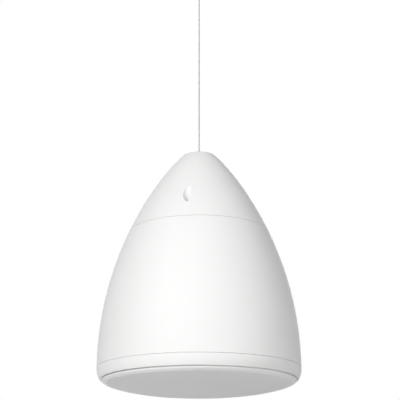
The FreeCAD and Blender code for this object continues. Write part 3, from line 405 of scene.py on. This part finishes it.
def make_cloth():
    """Light acoustic cloth stretched inside the grille."""
    rows = []
    for inset, order in ((GRILLE_SHEET + CLOTH_GAP, 1), (GRILLE_SHEET + CLOTH_GAP + CLOTH, -1)):
        height = dome_height(inset)
        radii = np.linspace(0, CLOTH_R, CLOTH_ROWS)
        rows += [(float(r), float(height(r))) for r in radii][::order]
    cloth = turned_mesh("acoustic_cloth", rows, CLOTH_TURNS)
    sharpen(cloth)
    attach(cloth, "enclosure")
    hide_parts("grille_cloth")
    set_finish(cloth, "grille_cloth")


def rope_route():
    """Points along the rope from its stop inside the body up to the stop in the ceiling holder."""
    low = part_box("wire_rope")[0].z
    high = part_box("wire_rope")[1].z
    data = bpy.data.curves.new("rope_route", "CURVE")
    data.dimensions = "3D"
    spline = data.splines.new("NURBS")
    heights = [low, NOSE_Z, (NOSE_Z + high) / 2, high]
    spline.points.add(len(heights) - 1)
    for point, z in zip(spline.points, heights):
        point.co = (0, 0, z, 1)
    spline.order_u = 3
    spline.use_endpoint_u = True
    route = bpy.data.objects.new("rope_route", data)
    bpy.context.scene.collection.objects.link(route)
    mesh = bpy.data.meshes.new_from_object(route)
    points = [v.co.copy() for v in mesh.vertices]
    bpy.data.objects.remove(route)
    return points


def make_rope():
    """Stranded wire rope, each wire a tube that winds round the route."""
    path = rope_route()
    low, high = path[0].z, path[-1].z
    wire_r = ROPE_D / 6
    steps = int((high - low) / ROPE_LAY * ROPE_STEPS_PER_LAY)
    points, faces = [], []
    for wire in range(ROPE_WIRES + 1):
        lay_r = 0.0 if wire == ROPE_WIRES else 2 * wire_r
        phase = 2 * pi * wire / ROPE_WIRES
        first = len(points)
        for i in range(steps + 1):
            z = low + (high - low) * i / steps
            turn = 2 * pi * (z - low) / ROPE_LAY + phase
            centre = Vector((lay_r * cos(turn), lay_r * sin(turn), z))
            out = Vector((cos(turn), sin(turn), 0))
            along = Vector((-lay_r * sin(turn), lay_r * cos(turn), ROPE_LAY / (2 * pi))).normalized()
            side = along.cross(out)
            for k in range(WIRE_SIDES):
                a = 2 * pi * k / WIRE_SIDES
                points.append(centre + (out * cos(a) + side * sin(a)) * wire_r)
        for i in range(steps):
            for k in range(WIRE_SIDES):
                m = (k + 1) % WIRE_SIDES
                a = first + i * WIRE_SIDES
                b = a + WIRE_SIDES
                faces.append([a + k, a + m, b + m, b + k])
        last = first + steps * WIRE_SIDES
        faces.append([first + k for k in reversed(range(WIRE_SIDES))])
        faces.append([last + k for k in range(WIRE_SIDES)])
    rope = link_mesh("rope_strands", points, faces)
    sharpen(rope, ROPE_EDGE_ANGLE)
    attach(rope, "enclosure")
    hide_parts("wire_rope")
    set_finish(rope, "rope_steel")


def sector_mesh(name, profile, sector):
    """One closed sector of a turned ring from a closed row of (radius, height)."""
    step = 2 * pi / SECTORS / SECTOR_STEPS
    start = 2 * pi * sector / SECTORS
    count = len(profile)
    points, faces = [], []
    for i in range(SECTOR_STEPS + 1):
        a = start + i * step
        points += [(r * cos(a), r * sin(a), z) for r, z in profile]
    for i in range(SECTOR_STEPS):
        for k in range(count):
            m = (k + 1) % count
            a, b = i * count, (i + 1) * count
            faces.append([a + k, a + m, b + m, b + k])
    faces.append([k for k in reversed(range(count))])
    faces.append([SECTOR_STEPS * count + k for k in range(count)])
    return sharpen(link_mesh(name, points, faces))


def make_flexing(node, slot, profile):
    """Closed sectors of a turned ring that stand in for the node."""
    for sector in range(SECTORS):
        piece = sector_mesh(node + "_sector_%02d" % (sector + 1), profile, sector)
        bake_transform(piece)
        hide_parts(node)
        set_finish(piece, slot)


def surround_profile():
    """Half roll with a land on each side, as a closed outline."""
    middle = (ROLL_IN_R + ROLL_OUT_R) / 2
    roll_r = (ROLL_OUT_R - ROLL_IN_R) / 2
    low = RIM_Z - SURROUND_SHEET
    outer = [(middle - roll_r * cos(pi * i / ROLL_STEPS), low - roll_r * sin(pi * i / ROLL_STEPS))
             for i in range(ROLL_STEPS + 1)]
    inner_r = roll_r - SURROUND_SHEET
    inner = [(middle + inner_r * cos(pi * i / ROLL_STEPS), low - inner_r * sin(pi * i / ROLL_STEPS))
             for i in range(ROLL_STEPS + 1)]
    return ([(GLUE_R, low)] + outer + [(SURROUND_R, low), (SURROUND_R, RIM_Z), (inner[0][0], RIM_Z)]
            + inner + [(inner[-1][0], RIM_Z), (GLUE_R, RIM_Z)])


def spider_profile():
    """Corrugated disc with a flat land at the former and at the basket's ledge."""
    middle = (SPIDER_LOW_Z + SPIDER_TOP_Z - SPIDER_SHEET) / 2
    depth = (SPIDER_TOP_Z - SPIDER_SHEET - SPIDER_LOW_Z) / 2
    inner = FORMER_R + SPIDER_NECK
    first = inner + SPIDER_LAND
    last = SPIDER_OUT_R - SPIDER_SEAT - SPIDER_LAND
    total = SPIDER_WAVES * SPIDER_WAVE_STEPS
    lower = [(inner, middle)]
    for i in range(total + 1):
        share = i / total
        lower.append((first + (last - first) * share, middle + depth * sin(2 * pi * SPIDER_WAVES * share)))
    lower.append((SPIDER_OUT_R, middle))
    upper = [(r, z + SPIDER_SHEET) for r, z in reversed(lower)]
    return lower + upper


def new_material(name):
    """Empty node material with its shader and object coordinates."""
    material = bpy.data.materials.new(name)
    material.use_nodes = True
    tree = material.node_tree
    shader = tree.nodes["Principled BSDF"]
    place = tree.nodes.new("ShaderNodeTexCoord").outputs["Object"]
    return material, tree, shader, place


def noise(tree, place, scale, detail):
    """Noise between 0 and 1 at a scale in features per metre."""
    node = tree.nodes.new("ShaderNodeTexNoise")
    node.inputs["Scale"].default_value = scale
    node.inputs["Detail"].default_value = detail
    tree.links.new(place, node.inputs["Vector"])
    return node.outputs["Fac"]


def spread(tree, factor, low, high):
    """The factor's middle range spread between two values."""
    node = tree.nodes.new("ShaderNodeMapRange")
    node.inputs["From Min"].default_value = NOISE_LOW
    node.inputs["From Max"].default_value = NOISE_HIGH
    node.inputs["To Min"].default_value = low
    node.inputs["To Max"].default_value = high
    tree.links.new(factor, node.inputs["Value"])
    return node.outputs["Result"]


def two_tone(tree, factor, first, second):
    """Colour between two tones."""
    node = tree.nodes.new("ShaderNodeMix")
    node.data_type = "RGBA"
    node.inputs[6].default_value = (*first, 1.0)
    node.inputs[7].default_value = (*second, 1.0)
    tree.links.new(factor, node.inputs[0])
    return node.outputs[2]


def math_node(tree, operation, first, second):
    """Arithmetic on two sockets or numbers."""
    node = tree.nodes.new("ShaderNodeMath")
    node.operation = operation
    for socket, value in zip(node.inputs, (first, second)):
        if isinstance(value, (int, float)):
            socket.default_value = value
        else:
            tree.links.new(value, socket)
    return node.outputs[0]


def bump(tree, height, depth):
    """Bump of a real depth in metres."""
    node = tree.nodes.new("ShaderNodeBump")
    node.inputs["Strength"].default_value = 1.0
    node.inputs["Distance"].default_value = depth
    tree.links.new(height, node.inputs["Height"])
    return node.outputs["Normal"]


def scaled(tree, place, stretch):
    """Coordinates stretched along each axis."""
    node = tree.nodes.new("ShaderNodeMapping")
    node.inputs["Scale"].default_value = stretch
    tree.links.new(place, node.inputs["Vector"])
    return node.outputs["Vector"]


def wave(tree, place, pitch, direction):
    """Regular bands, one every pitch in metres."""
    node = tree.nodes.new("ShaderNodeTexWave")
    node.wave_type = "BANDS"
    node.wave_profile = "SIN"
    node.bands_direction = direction
    node.inputs["Scale"].default_value = pi / 10 / pitch
    tree.links.new(place, node.inputs["Vector"])
    return node.outputs["Fac"]


def shade(color, share):
    """The colour made lighter or darker by a share."""
    return tuple(min(1.0, c * share) for c in color)


def grained(name, color, rough, grain, depth, metallic=0.0, vary=0.03, **sockets):
    """Colour and gloss that vary softly, over a fine surface grain."""
    material, tree, shader, place = new_material(name)
    tone = spread(tree, noise(tree, place, TONE_SCALE, TONE_DETAIL), 0.0, 1.0)
    mixed = two_tone(tree, tone, shade(color, 1 - vary), shade(color, 1 + vary))
    tree.links.new(mixed, shader.inputs["Base Color"])
    gloss = noise(tree, place, GLOSS_SCALE, GLOSS_DETAIL)
    tree.links.new(spread(tree, gloss, rough - GLOSS_VARY, rough + GLOSS_VARY), shader.inputs["Roughness"])
    fine = noise(tree, place, grain, GRAIN_DETAIL)
    tree.links.new(bump(tree, fine, depth), shader.inputs["Normal"])
    shader.inputs["Metallic"].default_value = metallic
    for key, value in sockets.items():
        shader.inputs[key.replace("_", " ")].default_value = value
    return material


def brushed(name, color, rough, stretch):
    """Metal with fine lines along one direction."""
    material, tree, shader, place = new_material(name)
    lines = noise(tree, scaled(tree, place, stretch), LINE_SCALE, LINE_DETAIL)
    tone = spread(tree, lines, 0.0, 1.0)
    mixed = two_tone(tree, tone, shade(color, LINE_DARK), shade(color, LINE_LIGHT))
    tree.links.new(mixed, shader.inputs["Base Color"])
    gloss = spread(tree, lines, rough - LINE_SMOOTHER, rough + LINE_ROUGHER)
    tree.links.new(gloss, shader.inputs["Roughness"])
    tree.links.new(bump(tree, lines, LINE_DEPTH), shader.inputs["Normal"])
    shader.inputs["Metallic"].default_value = 1.0
    return material


def woven(name, color, pitch, depth, rough=0.85, sheen=0.3):
    """Plain weave of threads both ways, with painted shade between the threads and a painted highlight on
    their tops.
    """
    material, tree, shader, place = new_material(name)
    across = wave(tree, place, pitch, "X")
    down = wave(tree, place, pitch, "Y")
    threads = math_node(tree, "MAXIMUM", across, down)
    fuzz = noise(tree, place, FUZZ_SCALE, FUZZ_DETAIL)
    smooth = math_node(tree, "MULTIPLY", threads, 1 - FUZZ_SHARE)
    height = math_node(tree, "ADD", smooth, math_node(tree, "MULTIPLY", fuzz, FUZZ_SHARE))
    # Colour follows the weave's height: painted shade in the gaps, painted highlight on the thread tops
    mixed = two_tone(tree, height, shade(color, THREAD_GAP_SHADE), shade(color, THREAD_TOP_HIGHLIGHT))
    tree.links.new(mixed, shader.inputs["Base Color"])
    tree.links.new(bump(tree, height, depth), shader.inputs["Normal"])
    shader.inputs["Roughness"].default_value = rough
    shader.inputs["Sheen Weight"].default_value = sheen
    return material


def wound(name, color, pitch, direction):
    """Enamelled wire laid turn by turn, with painted shade in the grooves and a painted highlight on the
    crests.
    """
    material, tree, shader, place = new_material(name)
    turns = wave(tree, place, pitch, direction)
    dull = spread(tree, noise(tree, place, WIRE_SCALE, WIRE_DETAIL), WIRE_DULLEST, 1.0)
    # Colour follows the turns: painted shade in each groove, painted highlight on each crest, with random
    # dulling
    tone = math_node(tree, "MULTIPLY", turns, dull)
    mixed = two_tone(tree, tone, shade(color, WIRE_GROOVE_SHADE), shade(color, WIRE_CREST_HIGHLIGHT))
    tree.links.new(mixed, shader.inputs["Base Color"])
    tree.links.new(bump(tree, turns, WIRE_DEPTH), shader.inputs["Normal"])
    shader.inputs["Roughness"].default_value = WIRE_ROUGH
    shader.inputs["Metallic"].default_value = WIRE_METALLIC
    shader.inputs["Coat Weight"].default_value = WIRE_COAT
    return material


def make_materials():
    """One material for each slot of the record."""
    return {
        "shell_white": grained("satin_white_plastic", (0.84, 0.84, 0.835), 0.55, 1700.0, 0.018 * MM,
                               vary=0.006, Specular_IOR_Level=0.12),
        "grille_white": grained("powder_coat_white", (0.84, 0.84, 0.84), 0.5, 1100.0, 0.03 * MM, vary=0.008),
        "grille_cloth": woven("acoustic_weave", (0.3, 0.3, 0.3), 0.45 * MM, 0.12 * MM),
        "rope_steel": brushed("bright_wire", (0.3, 0.3, 0.305), 0.38, (30, 30, 1)),
        "holder_nickel": brushed("nickel_plate", (0.72, 0.7, 0.67), 0.22, (1, 1, 40)),
        "ferrule": brushed("crimped_aluminium", (0.75, 0.76, 0.77), 0.35, (20, 20, 1)),
        "rubber_black": grained("soft_rubber", (0.028, 0.028, 0.03), 0.68, 700.0, 0.04 * MM, vary=0.2),
        "screw_zinc": grained("bright_zinc", (0.68, 0.68, 0.66), 0.3, 900.0, 0.01 * MM, 1.0, 0.06),
        "strap_steel": brushed("zinc_strap", (0.6, 0.61, 0.62), 0.34, (1, 40, 40)),
        "baffle_black": grained("black_board", (0.035, 0.035, 0.036), 0.62, 500.0, 0.06 * MM, vary=0.15),
        "basket_black": grained("black_paint", (0.03, 0.03, 0.032), 0.42, 800.0, 0.03 * MM, vary=0.1),
        "ferrite": grained("ferrite", (0.07, 0.07, 0.075), 0.5, 1400.0, 0.05 * MM, vary=0.25),
        "plate_steel": grained("plated_steel", (0.6, 0.6, 0.58), 0.32, 600.0, 0.012 * MM, 1.0, 0.08),
        "cone_paper": grained("pulp_paper", (0.045, 0.044, 0.042), 0.82, 420.0, 0.12 * MM, vary=0.3,
                              Sheen_Weight=0.2),
        "spider_cloth": woven("stiff_weave", (0.62, 0.48, 0.28), 0.5 * MM, 0.1 * MM, 0.75, 0.1),
        "copper": wound("enamelled_wire", (0.8, 0.36, 0.16), 0.45 * MM, "Z"),
        "tweeter_black": grained("black_moulding", (0.03, 0.03, 0.03), 0.38, 1300.0, 0.015 * MM, vary=0.1),
        "dome_silk": woven("coated_silk", (0.06, 0.06, 0.065), 0.35 * MM, 0.05 * MM, 0.45, 0.3),
        "board_green": grained("glass_board", (0.02, 0.14, 0.06), 0.3, 900.0, 0.02 * MM, vary=0.12,
                               Coat_Weight=0.5),
        "film_yellow": grained("yellow_wrap", (0.72, 0.47, 0.05), 0.3, 300.0, 0.02 * MM, vary=0.08,
                               Coat_Weight=0.4),
        "ceramic": grained("white_ceramic", (0.78, 0.76, 0.71), 0.6, 900.0, 0.05 * MM, vary=0.05),
        "terminal_green": grained("green_moulding", (0.03, 0.26, 0.09), 0.36, 1100.0, 0.015 * MM, vary=0.05),
        "lamination": brushed("stacked_sheets", (0.2, 0.2, 0.21), 0.45, (60, 1, 1)),
        "switch_black": grained("switch_moulding", (0.035, 0.035, 0.037), 0.4, 1200.0, 0.015 * MM, vary=0.1),
    }


def dress(materials):
    """Give every node and piece the material of its slot."""
    for row in frame["record"]["subparts"]:
        node = nodes[row["node"]]
        node.data.materials.clear()
        node.data.materials.append(materials[row["material_slot"]])
    for piece in bpy.context.scene.objects:
        if piece.type == "MESH" and "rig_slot" in piece and "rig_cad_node" not in piece:
            piece.data.materials.append(materials[piece["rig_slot"]])


def seen_rays(tree):
    """One for camera, glossy and transmitted rays, and nothing for the rays that light things."""
    path = tree.nodes.new("ShaderNodeLightPath")
    rays = math_node(tree, "MAXIMUM", path.outputs["Is Camera Ray"], path.outputs["Is Glossy Ray"])
    return math_node(tree, "MAXIMUM", rays, path.outputs["Is Transmission Ray"])


def seen_white(tree, surface, lit, white):
    """Mix of a lit shader and plain white for camera, glossy and transmitted rays."""
    mix = tree.nodes.new("ShaderNodeMixShader")
    tree.links.new(seen_rays(tree), mix.inputs[0])
    tree.links.new(lit, mix.inputs[1])
    tree.links.new(white, mix.inputs[2])
    tree.links.new(mix.outputs[0], surface)


def background(tree, strength):
    """White background of a strength."""
    node = tree.nodes.new("ShaderNodeBackground")
    node.inputs["Color"].default_value = (1, 1, 1, 1)
    node.inputs["Strength"].default_value = strength
    return node.outputs[0]


def make_world():
    """Soft even light that looks white to the camera."""
    world = bpy.data.worlds.new("studio")
    bpy.context.scene.world = world
    world.use_nodes = True
    tree = world.node_tree
    tree.nodes.clear()
    output = tree.nodes.new("ShaderNodeOutputWorld")
    seen_white(tree, output.inputs["Surface"], background(tree, AMBIENT), background(tree, 1.0))


def make_floor():
    """Plain pale floor, well below the hanging speaker, with a glow that only the seen rays have."""
    angles = [2 * pi * k / FLOOR_SIDES for k in range(FLOOR_SIDES)]
    points = [(FLOOR_R * cos(a), FLOOR_R * sin(a), FLOOR_Z) for a in angles]
    floor = link_mesh("floor", points, [list(range(FLOOR_SIDES))], smooth=False)
    material, tree, shader, _ = new_material("pale_floor")
    shader.inputs["Base Color"].default_value = (FLOOR_GREY, FLOOR_GREY, FLOOR_GREY, 1)
    shader.inputs["Roughness"].default_value = FLOOR_ROUGH
    glow = math_node(tree, "MULTIPLY", seen_rays(tree), FLOOR_GLOW)
    shader.inputs["Emission Color"].default_value = (1, 1, 1, 1)
    tree.links.new(glow, shader.inputs["Emission Strength"])
    floor.data.materials.append(material)


def make_light(name, azimuth, elevation, distance, size, share):
    """Square soft light that points at the middle of the body; azimuth 0 is the camera's side."""
    a, e = radians(azimuth), radians(elevation)
    aim = Vector((0, 0, (NOSE_Z + WIDE_Z) / 2))
    back = Vector((sin(a) * cos(e), -cos(a) * cos(e), sin(e)))
    data = bpy.data.lights.new(name, "AREA")
    data.size = size
    data.energy = share * (pi * distance) ** 2
    light = bpy.data.objects.new(name, data)
    light.location = aim + back * distance
    light.rotation_mode = "QUATERNION"
    light.rotation_quaternion = (-back).to_track_quat("-Z", "Y")
    light.visible_camera = False
    bpy.context.scene.collection.objects.link(light)


make_camera()
make_rope()
make_grille()
make_cloth()
make_flexing("surround", "rubber_black", surround_profile())
make_flexing("spider", "spider_cloth", spider_profile())
dress(make_materials())
make_world()
make_floor()
for lamp in LAMPS:
    make_light(*lamp)
bpy.context.scene.view_settings.view_transform = "Standard"
